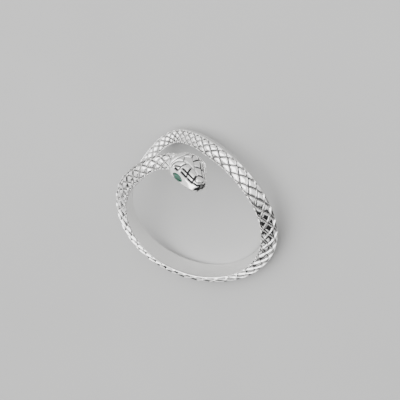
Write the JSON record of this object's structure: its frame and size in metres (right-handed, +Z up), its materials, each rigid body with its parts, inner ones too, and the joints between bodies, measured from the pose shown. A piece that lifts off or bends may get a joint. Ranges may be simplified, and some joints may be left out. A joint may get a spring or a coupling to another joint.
{
  "type": "snake ring",
  "caption": "Open wrap ring shaped as a snake with a raised scale net, whose head passes its own tail, set with faceted green eye stones.",
  "frame": {"origin": "on the axis of the finger hole, level with the middle of the shank", "axes": "+Z up from the surface that the ring lies on; the shank is towards -Y, the head and the tail towards +Y; the finger hole's axis leans from +Z towards -Y"},
  "size_m": [0.0203, 0.0205, 0.0102],
  "materials": {
    "silver": "polished",
    "eye_stone": "faceted"
  },
  "bodies": {
    "root": {"band": "silver", "eye_right": "eye_stone", "eye_left": "eye_stone"}
  },
  "joints": []
}
